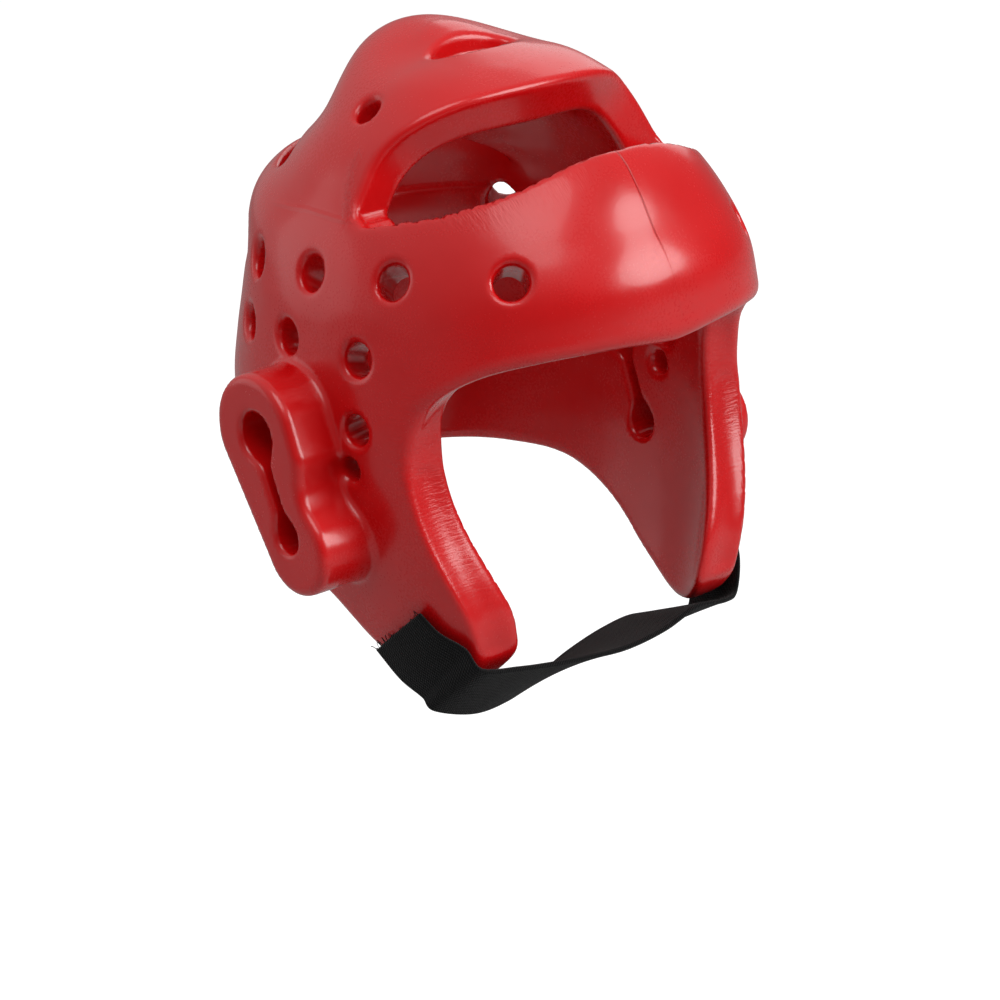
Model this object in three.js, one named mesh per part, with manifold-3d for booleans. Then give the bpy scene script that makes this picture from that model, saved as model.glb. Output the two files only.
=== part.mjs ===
// Sparring headguard: one moulded foam shell and a chin strap.
// Millimetres, +Z up, the face looks along -Y, the wearer's right is -X.
// The sections are worked out about the head's centre at ear level, and the finished
// group is lowered so that the underside of the crown, where the head sits, is the origin.
import * as THREE from 'three'
import { mergeVertices } from 'three/addons/utils/BufferGeometryUtils.js'
import Module from 'manifold-3d'

const wasm = await Module()
wasm.setup()

// The head inside the foam, from its centre at ear level
const headHalfWidth = 74
const headHalfLength = 90
const headHeight = 113

// The shell
const foamThickness = 18
const guardDrop = 112          // how far below ear level the sections run
const browCornerRadius = 30
const arcPerDegree = 1.75      // spacing of the levels above the ears

// The ear cups
const earCupStandOut = 22      // outer face of the cup past the head guard's side
const earEdgeRadius = 5
const earUpperRadius = 23.5
const earLowerRadius = 18.5
const earUpperBack = 7         // upper lobe's centre, behind the head's centre
const earUpperDrop = 1.5
const earSpan = 47             // from the centre of the upper lobe to that of the lower
const earLean = 26.6           // degrees that the cup leans forward at the bottom
const earNotchForward = 34
const earNotchDrop = 17
const earNotchRadius = 14.5
const slotUpperRadius = 9.5
const slotLowerRadius = 6.5
const slotWaist = 3.3          // half the slot's width at its narrowest
const slotBehind = -1.5        // slot's upper centre behind the upper lobe's
const slotBelow = 0.5
const slotSpan = 40
const slotLean = 22.7

// The openings over the head
const frontOpeningHalfWidth = 60
const openingCornerRadius = 8
const ledgeHeight = 78         // the pillars stand behind the band's top from here up
const lipForward = 38          // upper edge of the crown's front lip, on the middle line
const lipSweep = 17.5          // how far that edge curves back toward the head's sides
const lipLean = 26.6           // degrees that the lip's face leans back from top to bottom
const pillarForward = 17       // front face of the pillars
const crownBack = 62           // the crown pad ends this far behind the middle
const crownBackSweep = 22      // how far its rear edge curves forward toward the sides
const rearOpeningHalfWidth = 62
const rearOpeningRadius = 76   // inner face of the rear band, across
const rearOpeningReach = 84.4  // the same, to the back
const crownSlotLength = 42
const crownSlotWidth = 15
const edgeFlare = 4            // rounding where a hole meets the outer face

// The chin strap
const strapWidth = 36
const strapThickness = 2
const patchLength = 30
const patchWidth = 30.6
const patchThickness = 1.2
const clearance = 0.5
const facetRelief = 0.25       // flat facets of a bent strip come this much nearer the guard
const patchStart = 0.1         // strap rows between the strap's end and the patch's
const patchReach = 1.9         // strap rows that the patch never runs beyond

// How finely the round shapes are divided
const outerFacets = { around: 56, below: 10, above: 17 }
const hollowFacets = { around: 36, below: 7, above: 12 }
const earFacets = 32
const leastCut = 1             // least width of a cut's outline

// Levels of the shell. Below the ears the level is a share of guardDrop, above them degrees.
// head columns are shares of the head's own curve, foam columns shares of foamThickness.
const levelColumns = ['level', 'headFront', 'headSide', 'headBack',
  'foamFront', 'foamSide', 'foamBack', 'square']
const levelRows = [
  [-1.25, 0.78, 0.70, 0.89, 0.89, 0.89, 0.89, 2.8],
  [-1.00, 0.84, 0.79, 0.93, 0.89, 0.95, 0.89, 2.8],
  [-0.70, 0.91, 0.89, 0.96, 0.89, 1.00, 0.94, 2.8],
  [-0.45, 0.96, 0.95, 0.98, 0.94, 1.06, 0.94, 2.8],
  [-0.22, 0.98, 0.99, 0.99, 1.00, 1.06, 0.94, 2.8],
  [0, 1.00, 1.00, 1.00, 1.06, 1.06, 0.94, 2.7],
  [10, 1.02, 1.01, 0.99, 1.17, 1.03, 0.94, 2.5],
  [20, 1.03, 1.03, 0.98, 1.33, 1.03, 0.94, 2.35],
  [28, 1.04, 1.06, 1.00, 1.56, 1.03, 0.94, 2.2],
  [38, 1.02, 1.08, 1.10, 1.60, 1.03, 0.95, 2.1],
  [50, 1.00, 1.07, 1.02, 1.65, 1.03, 0.95, 2.0],
  [60, 0.99, 1.07, 0.97, 1.30, 1.05, 1.00, 2.05],
  [70, 0.97, 1.07, 1.12, 1.15, 1.00, 1.05, 2.0],
  [80, 0.975, 1.02, 1.075, 1.10, 1.00, 1.05, 2.0],
  [90, 1.00, 1.00, 1.00, 1.03, 1.03, 1.03, 2.0],
]

// Front edge of the cheek guards, seen from the side.
// down is a share of guardDrop, forward of headHalfLength.
const guardColumns = ['down', 'forward']
const guardRows = [
  [-1.25, 0.60], [-1.00, 0.62], [-0.89, 0.68], [-0.80, 0.745], [-0.71, 0.766], [-0.625, 0.767],
  [-0.535, 0.742], [-0.45, 0.708], [-0.34, 0.66], [-0.22, 0.617], [-0.09, 0.589], [0, 0.586],
  [0.18, 0.611], [0.36, 0.778], [0.60, 0.95],
]

// Bottom rim, seen from the side. back is a share of headHalfLength, down of guardDrop.
const rimColumns = ['back', 'down']
const rimRows = [
  [-1.50, -0.76], [-0.88, -0.78], [-0.76, -0.83], [-0.66, -0.885], [-0.52, -0.92],
  [-0.22, -0.83], [0.02, -0.69], [0.33, -0.57], [0.67, -0.535], [1.50, -0.535],
]

// Lower edge of the forehead band, seen from the front.
// across is a share of headHalfWidth, up of headHeight.
const browColumns = ['across', 'up']
const browRows = [
  [0, 0.292], [0.41, 0.31], [0.74, 0.292], [1.01, 0.239], [1.22, 0.124], [1.80, -0.13],
]

// Top edge of the forehead band, seen from above.
// across is a share of headHalfWidth, forward of headHalfLength.
const bandColumns = ['across', 'forward']
const bandRows = [
  [0, 0.885], [0.255, 0.862], [0.426, 0.833], [0.608, 0.768], [0.765, 0.66], [0.903, 0.515],
  [0.988, 0.37], [1.20, -0.10],
]

// Vent holes, in pairs left and right: degrees round from the front, degrees up, radius.
const ventColumns = ['round', 'up', 'radius']
const ventRows = [
  [34.8, 32.3, 7], [62.3, 34, 7], [89, 34, 7], [116, 31.6, 7], [134, 30, 7],
  [72, 18, 7], [97.7, 19, 7], [119, 17, 7],
  [72.8, 1.5, 6.5], [75.4, -8.5, 5],
  [92, 65, 5.5],
]

// The strap's middle line from the right cheek guard to the left one.
// across, forward and down are shares of headHalfWidth, headHalfLength and guardDrop, and
// tilt is how far the front edge is turned up. A row laid on a guard takes its place across
// from the guard's face, so its own across only gives the side.
const strapColumns = ['across', 'forward', 'down', 'tilt', 'onGuard']
const strapRows = [
  [-1, 0.417, 0.686, 40, 1],
  [-1, 0.500, 0.768, 40, 1],
  [-1, 0.590, 0.818, 41, 1],
  [-1, 0.672, 0.888, 45, 0],
  [-0.757, 0.690, 0.935, 46, 0],
  [-0.514, 0.680, 0.955, 40, 0],
  [-0.270, 0.667, 0.955, 30, 0],
  [0, 0.650, 0.945, 18, 0],
  [0.297, 0.625, 0.930, 14, 0],
  [0.568, 0.595, 0.920, 20, 0],
  [0.800, 0.575, 0.960, 26, 0],
  [0.985, 0.540, 0.975, 32, 0],
  [1, 0.490, 0.845, 41, 1],
  [1, 0.410, 0.780, 40, 1],
  [1, 0.330, 0.690, 40, 1],
]

const redVinyl = new THREE.MeshStandardMaterial({ color: 0xc8151b, roughness: 0.28, metalness: 0 })
const blackWebbing = new THREE.MeshStandardMaterial({ color: 0x17171a, roughness: 0.9, metalness: 0 })
const blackPile = new THREE.MeshStandardMaterial({ color: 0x101012, roughness: 1, metalness: 0 })

// Smooth curve through one column of a table, read at a place along its first column
function readTable(rows, columns, name, at, spacing = (place) => place) {
  const column = columns.indexOf(name)
  const x = rows.map((row) => spacing(row[0]))
  const y = rows.map((row) => row[column])
  const last = rows.length - 1
  const q = Math.min(Math.max(at, x[0]), x[last])
  let i = 0
  while (i < last - 1 && q > x[i + 1]) i++
  const step = (k) => (y[k + 1] - y[k]) / (x[k + 1] - x[k])
  const slope = (k) => {
    if (k === 0) return step(0)
    if (k === last) return 0
    const before = x[k] - x[k - 1]
    const after = x[k + 1] - x[k]
    return (step(k - 1) * after + step(k) * before) / (before + after)
  }
  const h = x[i + 1] - x[i]
  const t = (q - x[i]) / h
  return (1 + 2 * t) * (1 - t) ** 2 * y[i] + t * (1 - t) ** 2 * h * slope(i)
    + t * t * (3 - 2 * t) * y[i + 1] + t * t * (t - 1) * h * slope(i + 1)
}

const levelSpacing = (level) => (level > 0 ? level * arcPerDegree : level * guardDrop)

function readLevel(name, place) {
  return readTable(levelRows, levelColumns, name, place, levelSpacing)
}

// The shell's section at one level: its reach to the front, side and back
function section(place, foam) {
  const up = Math.max(place, 0) / arcPerDegree * Math.PI / 180
  const reach = (half, side) => {
    const curve = 1 / Math.hypot(Math.cos(up) / half, Math.sin(up) / headHeight)
    return curve * readLevel('head' + side, place) + foam * foamThickness * readLevel('foam' + side, place)
  }
  return {
    up,
    front: reach(headHalfLength, 'Front'),
    side: reach(headHalfWidth, 'Side'),
    back: reach(headHalfLength, 'Back'),
    square: readLevel('square', place),
  }
}

// Distance from the middle to the section's outline, round from the front by an angle
function outlineReach(cut, round) {
  const front = Math.cos(round) > 0
  const power = front ? cut.square : 2 + 0.4 * Math.max(cut.square - 2, 0)
  const along = Math.abs(Math.cos(round)) / (front ? cut.front : cut.back)
  const across = Math.abs(Math.sin(round)) / cut.side
  return (along ** power + across ** power) ** (-1 / power)
}

function shellPoint(place, round, foam) {
  const cut = section(place, foam)
  const reach = outlineReach(cut, round)
  const flat = reach * Math.cos(cut.up)
  const height = place > 0 ? reach * Math.sin(cut.up) : place
  return new THREE.Vector3(-flat * Math.sin(round), -flat * Math.cos(round), height)
}

// Joins rings of points into one closed body, the first and last ring filled in.
// flat names the two axes of the ends' planes.
function bodyFromRings(rings, flat) {
  const count = rings[0].length
  const positions = rings.flat().flatMap((p) => [p.x, p.y, p.z])
  const faces = []
  for (let r = 0; r < rings.length - 1; r++) {
    for (let k = 0; k < count; k++) {
      const a = r * count + k
      const b = r * count + (k + 1) % count
      faces.push([a, b, a + count], [b, b + count, a + count])
    }
  }
  const fill = (ring, offset, sense) => {
    if (ring[0].distanceTo(ring[1]) < 1e-3) return
    const outline = ring.map((p) => new THREE.Vector2(p[flat[0]], p[flat[1]]))
    const wanted = sense * Math.sign(THREE.ShapeUtils.area(outline))
    for (const corners of THREE.ShapeUtils.triangulateShape(outline, [])) {
      const turned = Math.sign(THREE.ShapeUtils.area(corners.map((i) => outline[i]))) !== wanted
      const [a, b, c] = corners.map((i) => i + offset)
      faces.push(turned ? [a, c, b] : [a, b, c])
    }
  }
  fill(rings[0], 0, -1)
  fill(rings[rings.length - 1], (rings.length - 1) * count, 1)
  const geometry = new THREE.BufferGeometry()
  geometry.setAttribute('position', new THREE.Float32BufferAttribute(positions, 3))
  geometry.setIndex(faces.flat())
  return solidFrom(geometry)
}

function signedVolume(vertices, triangles) {
  const point = (i) => new THREE.Vector3().fromArray(vertices, 3 * i)
  let volume = 0
  for (let t = 0; t < triangles.length; t += 3) {
    const [a, b, c] = [point(triangles[t]), point(triangles[t + 1]), point(triangles[t + 2])]
    volume += a.dot(b.cross(c)) / 6
  }
  return volume
}

// A closed geometry with merged corners as a solid that can be cut
function solidFrom(geometry) {
  const plain = geometry.index ? geometry.clone() : geometry
  plain.deleteAttribute('normal')
  plain.deleteAttribute('uv')
  const merged = mergeVertices(plain, 1e-4)
  const vertices = merged.attributes.position.array
  const source = merged.index.array
  const triangles = []
  for (let t = 0; t < source.length; t += 3) {
    const [a, b, c] = [source[t], source[t + 1], source[t + 2]]
    if (a !== b && b !== c && c !== a) triangles.push(a, b, c)
  }
  if (signedVolume(vertices, triangles) < 0) {
    for (let t = 0; t < triangles.length; t += 3) {
      [triangles[t], triangles[t + 1]] = [triangles[t + 1], triangles[t]]
    }
  }
  return new wasm.Manifold(new wasm.Mesh({
    numProp: 3,
    vertProperties: new Float32Array(vertices),
    triVerts: new Uint32Array(triangles),
  }))
}

function meshFrom(name, solid, material) {
  const { vertProperties, triVerts } = solid.getMesh()
  const geometry = new THREE.BufferGeometry()
  geometry.setAttribute('position', new THREE.BufferAttribute(new Float32Array(vertProperties), 3))
  geometry.setIndex(new THREE.BufferAttribute(new Uint32Array(triVerts), 1))
  const mesh = new THREE.Mesh(geometry, material)
  mesh.name = name
  return mesh
}

// The closed dome of the shell's outer face (foam 1) or of the hollow (foam 0)
function dome(foam, { around, below, above }) {
  const places = []
  for (let i = 0; i < below; i++) places.push(levelSpacing(levelRows[0][0]) * (1 - i / below))
  for (let i = 0; i <= above; i++) places.push(90 * arcPerDegree * i / above)
  const rings = places.map((place) => {
    const ring = []
    for (let k = 0; k < around; k++) ring.push(shellPoint(place, 2 * Math.PI * k / around, foam))
    return ring
  })
  return bodyFromRings(rings, ['x', 'y'])
}

// Where a rounded edge of the given radius runs back from a face it is this far in
function roundedBack(depth, radius) {
  const inside = Math.min(Math.max(depth, 0), radius)
  return radius + inside - 2 * Math.sqrt(inside * radius)
}

const guardFront = (z) => {
  const down = z > 0 ? z / headHeight : z / guardDrop
  return -headHalfLength * readTable(guardRows, guardColumns, 'forward', down)
}
const rimHeight = (y) => guardDrop * readTable(rimRows, rimColumns, 'down', y / headHalfLength)
const browHeight = (x) => headHeight * readTable(browRows, browColumns, 'up', Math.abs(x) / headHalfWidth)

// Everything in front of the cheek guards and below the forehead band
function faceOpening() {
  const wide = 2 * headHalfWidth
  const steps = 16
  const far = -3 * headHalfLength
  const bottom = -1.4 * guardDrop
  const rings = []
  for (let i = 0; i <= steps; i++) {
    const x = wide * (2 * i / steps - 1)
    const brow = browHeight(x)
    const ring = [new THREE.Vector3(x, far, bottom), new THREE.Vector3(x, guardFront(bottom), bottom)]
    const rows = 14
    for (let k = 0; k <= rows; k++) {
      const z = -guardDrop + (brow + guardDrop) * Math.sin(Math.PI / 2 * k / rows)
      ring.push(new THREE.Vector3(x, guardFront(z) - roundedBack(brow - z, browCornerRadius), z))
    }
    ring.push(new THREE.Vector3(x, far, brow))
    rings.push(ring)
  }
  return bodyFromRings(rings, ['y', 'z'])
}

// Everything below the bottom rim
function belowRim() {
  const reach = 2 * headHalfLength
  const low = -1.6 * guardDrop
  const outline = [[-reach, low]]
  const steps = 24
  for (let i = 0; i <= steps; i++) {
    const y = reach * (2 * i / steps - 1)
    outline.push([y, rimHeight(y)])
  }
  outline.push([reach, low])
  const ends = [-2 * headHalfWidth, 2 * headHalfWidth]
  return bodyFromRings(ends.map((x) => outline.map(([y, z]) => new THREE.Vector3(x, y, z))), ['y', 'z'])
}

const bandFront = (x) => {
  return -headHalfLength * readTable(bandRows, bandColumns, 'forward', Math.abs(x) / headHalfWidth)
}

// Front face of the crown's lip, which runs down into the front of the pillars
function lipFront(x, z) {
  const down = (headHeight + foamThickness / 2 - z) * Math.tan(lipLean * Math.PI / 180)
  const lip = -lipForward + lipSweep * (x / headHalfWidth) ** 2 + down
  return Math.min(lip, -pillarForward)
}

// Front opening between the forehead band and the crown's lip, from one height upward
function frontOpening(halfWidth, from) {
  const top = headHeight + 2 * foamThickness
  const steps = 16
  const levels = 5
  const rings = []
  for (let r = 0; r <= levels; r++) {
    const z = from + (top - from) * r / levels
    const near = []
    const far = []
    for (let i = 0; i <= steps; i++) {
      const x = halfWidth * Math.sin(Math.PI / 2 * (2 * i / steps - 1))
      const corner = roundedBack(halfWidth - Math.abs(x), openingCornerRadius)
      const band = bandFront(x) + corner
      near.push(new THREE.Vector3(x, band, z))
      far.push(new THREE.Vector3(x, Math.max(lipFront(x, z) - corner, band + leastCut), z))
    }
    rings.push([...near, ...far.reverse()])
  }
  return bodyFromRings(rings, ['x', 'y'])
}

// A cut straight down through the top, from its outline in plan
function cutDown(outline, from) {
  const top = headHeight + 2 * foamThickness
  const rings = [from, top].map((z) => outline.map(([x, y]) => new THREE.Vector3(x, y, z)))
  return bodyFromRings(rings, ['x', 'y'])
}

// Rear opening: between the back of the crown pad and the rear band
function rearOpening() {
  const outline = []
  const steps = 12
  const bandAt = (x) => rearOpeningReach * Math.sqrt(Math.max(1 - (x / rearOpeningRadius) ** 2, 0))
  const padAt = (x) => crownBack - crownBackSweep * (x / headHalfWidth) ** 2
  const place = (i) => rearOpeningHalfWidth * Math.sin(Math.PI / 2 * (2 * i / steps - 1))
  for (let i = 0; i <= steps; i++) outline.push([place(i), padAt(place(i))])
  for (let i = steps; i >= 0; i--) {
    const x = place(i)
    outline.push([x, Math.max(bandAt(x), padAt(x) + leastCut)])
  }
  return cutDown(outline, headHeight * 0.5)
}

// The point of the side view at a distance below another, leaning forward
function below(from, distance, lean) {
  const angle = lean * Math.PI / 180
  return { y: from.y - distance * Math.sin(angle), z: from.z - distance * Math.cos(angle) }
}

const earUpper = { y: earUpperBack, z: -earUpperDrop }
const earLower = below(earUpper, earSpan, earLean)

// How far a point of the side view lies outside a capsule whose radius tapers
function outsideCapsule(y, z, from, to, fromRadius, toRadius) {
  const run = { y: to.y - from.y, z: to.z - from.z }
  const share = ((y - from.y) * run.y + (z - from.z) * run.z) / (run.y ** 2 + run.z ** 2)
  const t = Math.min(Math.max(share, 0), 1)
  const gap = Math.hypot(y - from.y - t * run.y, z - from.z - t * run.z)
  return gap - fromRadius - (toRadius - fromRadius) * t
}

function smoothMax(a, b, radius) {
  const h = Math.min(Math.max(0.5 + 0.5 * (a - b) / radius, 0), 1)
  return b + (a - b) * h + radius * h * (1 - h)
}

// The ear cup's bean outline, notched in front
function outsideBean(y, z) {
  const lobes = outsideCapsule(y, z, earUpper, earLower, earUpperRadius, earLowerRadius)
  const notch = earNotchRadius - Math.hypot(y + earNotchForward, z + earNotchDrop)
  return smoothMax(lobes, notch, earEdgeRadius)
}

// A ring of points round a centre where a measure of the side view has a given value
function levelRing(measure, value, centre, x, count) {
  const ring = []
  for (let k = 0; k < count; k++) {
    const angle = 2 * Math.PI * k / count
    let near = 0
    let far = 2 * earSpan
    for (let pass = 0; pass < 30; pass++) {
      const middle = (near + far) / 2
      const y = centre.y + middle * Math.cos(angle)
      const z = centre.z + middle * Math.sin(angle)
      if (measure(y, z) < value) near = middle
      else far = middle
    }
    ring.push(new THREE.Vector3(x, centre.y + near * Math.cos(angle), centre.z + near * Math.sin(angle)))
  }
  return ring
}

const earFace = headHalfWidth + foamThickness + earCupStandOut

function earCup(side) {
  const centre = { y: (earUpper.y + earLower.y) / 2, z: (earUpper.z + earLower.z) / 2 }
  const depths = [earEdgeRadius, 0.45 * earEdgeRadius, 0.15 * earEdgeRadius, 0]
  const root = levelRing(outsideBean, 0, centre, side * (headHalfWidth + foamThickness / 2), earFacets)
  const edge = depths.map((depth) => {
    const inset = roundedBack(depth, earEdgeRadius)
    return levelRing(outsideBean, -inset, centre, side * (earFace - depth), earFacets)
  })
  return bodyFromRings([root, ...edge], ['y', 'z'])
}

// The ear slot's outline in the side view: a round lobe at each end and a narrow waist
function slotRing(upper, lower, grow, x) {
  const steps = 10
  const lobeTurn = 125 * Math.PI / 180
  const facing = Math.atan2(upper.z - lower.z, upper.y - lower.y)
  const waist = { y: (upper.y + lower.y) / 2, z: (upper.z + lower.z) / 2 }
  const lobes = [[upper, slotUpperRadius + grow, 0], [lower, slotLowerRadius + grow, Math.PI]]
  const ring = []
  for (const [end, radius, turn] of lobes) {
    for (let k = 0; k <= steps; k++) {
      const angle = facing + turn + lobeTurn * (2 * k / steps - 1)
      ring.push(new THREE.Vector3(x, end.y + radius * Math.cos(angle), end.z + radius * Math.sin(angle)))
    }
    const side = facing + turn + Math.PI / 2
    const half = slotWaist + grow
    ring.push(new THREE.Vector3(x, waist.y + half * Math.cos(side), waist.z + half * Math.sin(side)))
  }
  return ring
}

function earSlot(side) {
  const upper = { y: earUpper.y + slotBehind, z: earUpper.z - slotBelow }
  const lower = below(upper, slotSpan, slotLean)
  const stations = [
    { x: headHalfWidth / 2, grow: 0 },
    { x: earFace - edgeFlare, grow: 0 },
    { x: earFace - edgeFlare / 4, grow: edgeFlare / 3 },
    { x: earFace + edgeFlare, grow: edgeFlare * 1.5 },
  ]
  const rings = stations.map(({ x, grow }) => slotRing(upper, lower, grow, side * x))
  return bodyFromRings(rings, ['y', 'z'])
}

// A round vent straight out from the head's middle, flared where it meets the outer face
function vent(row, side) {
  const round = side * row[ventColumns.indexOf('round')] * Math.PI / 180
  const up = row[ventColumns.indexOf('up')] * Math.PI / 180
  const radius = row[ventColumns.indexOf('radius')]
  const level = Math.cos(up)
  const out = new THREE.Vector3(-Math.sin(round) * level, -Math.cos(round) * level, Math.sin(up))
  const face = faceAlong(out)
  const profile = [
    [0, face - 3 * foamThickness], [radius, face - 3 * foamThickness], [radius, face - edgeFlare],
    [radius + edgeFlare / 4, face - edgeFlare / 4], [radius + edgeFlare, face + edgeFlare / 2],
    [radius + edgeFlare, face + foamThickness], [0, face + foamThickness],
  ]
  const geometry = new THREE.LatheGeometry(profile.map(([r, h]) => new THREE.Vector2(r, h)), 12)
  const turn = new THREE.Quaternion().setFromUnitVectors(new THREE.Vector3(0, 1, 0), out)
  return solidFrom(geometry.applyQuaternion(turn))
}

// Distance from the head's middle to the shell's outer face along a direction
function faceAlong(out) {
  const round = Math.atan2(-out.x, -out.y)
  const up = Math.asin(out.z)
  if (up > 0) return outlineReach(section(up * 180 / Math.PI * arcPerDegree, 1), round)
  let place = 0
  for (let pass = 0; pass < 8; pass++) {
    place = Math.tan(up) * outlineReach(section(place, 1), round)
  }
  return outlineReach(section(place, 1), round) / Math.cos(up)
}

// The slot across the middle of the crown, wider where it meets the top
function crownSlot() {
  const top = headHeight + foamThickness
  const stations = [
    { z: headHeight - foamThickness, grow: 0 },
    { z: top - 1.5 * edgeFlare, grow: 0 },
    { z: top - edgeFlare / 2, grow: edgeFlare / 4 },
    { z: top + edgeFlare, grow: edgeFlare },
    { z: top + foamThickness, grow: edgeFlare },
  ]
  const rings = stations.map(({ z, grow }) => {
    const ring = []
    for (let k = 0; k < 24; k++) {
      const angle = 2 * Math.PI * k / 24
      const x = (crownSlotLength / 2 + grow) * Math.cos(angle)
      ring.push(new THREE.Vector3(x, (crownSlotWidth / 2 + grow) * Math.sin(angle), z))
    }
    return ring
  })
  return bodyFromRings(rings, ['x', 'y'])
}

function shell() {
  const sides = [1, -1]
  let body = dome(1, outerFacets)
  for (const side of sides) body = body.add(earCup(side))
  body = body.subtract(dome(0, hollowFacets))
  for (const side of sides) body = body.subtract(earSlot(side))
  const cuts = [
    faceOpening(), belowRim(), rearOpening(), crownSlot(),
    frontOpening(frontOpeningHalfWidth, headHeight / 2),
    frontOpening(headHalfWidth + foamThickness, ledgeHeight),
  ]
  for (const cut of cuts) body = body.subtract(cut)
  for (const row of ventRows) {
    for (const side of sides) body = body.subtract(vent(row, side))
  }
  return body
}

// A point on a cheek guard's outer face, from its place in the side view, lifted off by a gap
function onGuard(side, y, z, gap) {
  const outside = (p) => {
    const cut = section(Math.min(p.z, 0), 1)
    return Math.hypot(p.x, p.y) - outlineReach(cut, Math.atan2(Math.abs(p.x), -p.y))
  }
  const cut = section(Math.min(z, 0), 1)
  const share = Math.min(Math.abs(y) / cut.front, 0.98)
  const x = cut.side * (1 - share ** cut.square) ** (1 / cut.square)
  const point = new THREE.Vector3(side * x, y, z)
  const slope = ['x', 'y', 'z'].map((axis) => {
    const nudged = point.clone()
    nudged[axis] += clearance
    return outside(nudged) - outside(point)
  })
  return point.addScaledVector(new THREE.Vector3(...slope).normalize(), gap)
}

const patchLift = clearance + facetRelief + patchThickness / 2
const strapLift = patchLift + patchThickness / 2 + clearance + strapThickness / 2

// The strap's middle line and the direction across it, at a place counted in rows
function strapAt(place) {
  const rows = strapRows.map((row, i) => [i, ...row])
  const read = (name) => readTable(rows, ['row', ...strapColumns], name, place)
  const [across, forward, down, tilt] = strapColumns.map(read)
  return { across, forward, down, tilt }
}

function strapCentre(place) {
  const at = strapAt(place)
  const y = -at.forward * headHalfLength
  const z = -at.down * guardDrop
  const laid = strapRows[Math.round(place)][strapColumns.indexOf('onGuard')] === 1
  if (laid) return onGuard(Math.sign(at.across), y, z, strapLift)
  return new THREE.Vector3(at.across * headHalfWidth, y, z)
}

// One cross section of the strap: a thin rectangle, bent to the guard where it lies on it
function strapRing(place, lift, width, thickness) {
  const at = strapAt(place)
  const last = strapRows.length - 1
  const ahead = strapCentre(Math.min(place + 1, last)).sub(strapCentre(Math.max(place - 1, 0))).normalize()
  const tilt = at.tilt * Math.PI / 180
  const across = new THREE.Vector3(0, -Math.cos(tilt), Math.sin(tilt))
  across.addScaledVector(ahead, -across.dot(ahead)).normalize()
  const centre = strapCentre(place)
  const face = new THREE.Vector3().crossVectors(ahead, across).normalize()
  const laid = strapRows[Math.round(place)][strapColumns.indexOf('onGuard')] === 1
  const parts = 4
  const side = (out) => {
    const points = []
    for (let k = 0; k <= parts; k++) {
      const offset = width * (k / parts - 0.5)
      const point = centre.clone().addScaledVector(across, offset)
      if (laid) points.push(onGuard(Math.sign(at.across), point.y, point.z, lift + out))
      else points.push(point.addScaledVector(face, out))
    }
    return points
  }
  return [...side(thickness / 2), ...side(-thickness / 2).reverse()]
}

function bodyFromStrip(rings) {
  const count = rings[0].length
  const half = count / 2
  const positions = rings.flat().flatMap((p) => [p.x, p.y, p.z])
  const faces = []
  for (let r = 0; r < rings.length - 1; r++) {
    for (let k = 0; k < count; k++) {
      const a = r * count + k
      const b = r * count + (k + 1) % count
      faces.push([a, b, a + count], [b, b + count, a + count])
    }
  }
  const end = (offset, turned) => {
    for (let k = 0; k < half - 1; k++) {
      const [a, b, c, d] = [offset + k, offset + k + 1, offset + count - 2 - k, offset + count - 1 - k]
      if (turned) faces.push([a, d, c], [a, c, b])
      else faces.push([a, b, c], [a, c, d])
    }
  }
  end(0, true)
  end((rings.length - 1) * count, false)
  const geometry = new THREE.BufferGeometry()
  geometry.setAttribute('position', new THREE.Float32BufferAttribute(positions, 3))
  geometry.setIndex(faces.flat())
  return solidFrom(geometry)
}

function chinStrap() {
  const rings = strapRows.map((row, i) => strapRing(i, strapLift, strapWidth, strapThickness))
  return bodyFromStrip(rings)
}

// The patch of pile between the strap's end and the guard
function strapPatch(side) {
  const last = strapRows.length - 1
  const first = side < 0 ? 0 : last
  const step = side < 0 ? 1 : -1
  const gap = strapCentre(first).distanceTo(strapCentre(first + step))
  const rings = [0, 0.25, 0.5, 0.75, 1].map((share) => {
    const place = first + step * Math.min(patchStart + share * patchLength / gap, patchReach)
    return strapRing(place, patchLift, patchWidth, patchThickness)
  })
  return bodyFromStrip(rings)
}

const headguard = new THREE.Group()
headguard.name = 'headguard'
headguard.add(meshFrom('shell', shell(), redVinyl))
headguard.add(meshFrom('chin_strap', chinStrap(), blackWebbing))
headguard.add(meshFrom('strap_patch_right', strapPatch(-1), blackPile))
headguard.add(meshFrom('strap_patch_left', strapPatch(1), blackPile))
headguard.position.z = -headHeight

export default headguard
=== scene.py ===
import math

import bpy
import numpy as np
from mathutils import Matrix, Vector


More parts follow.
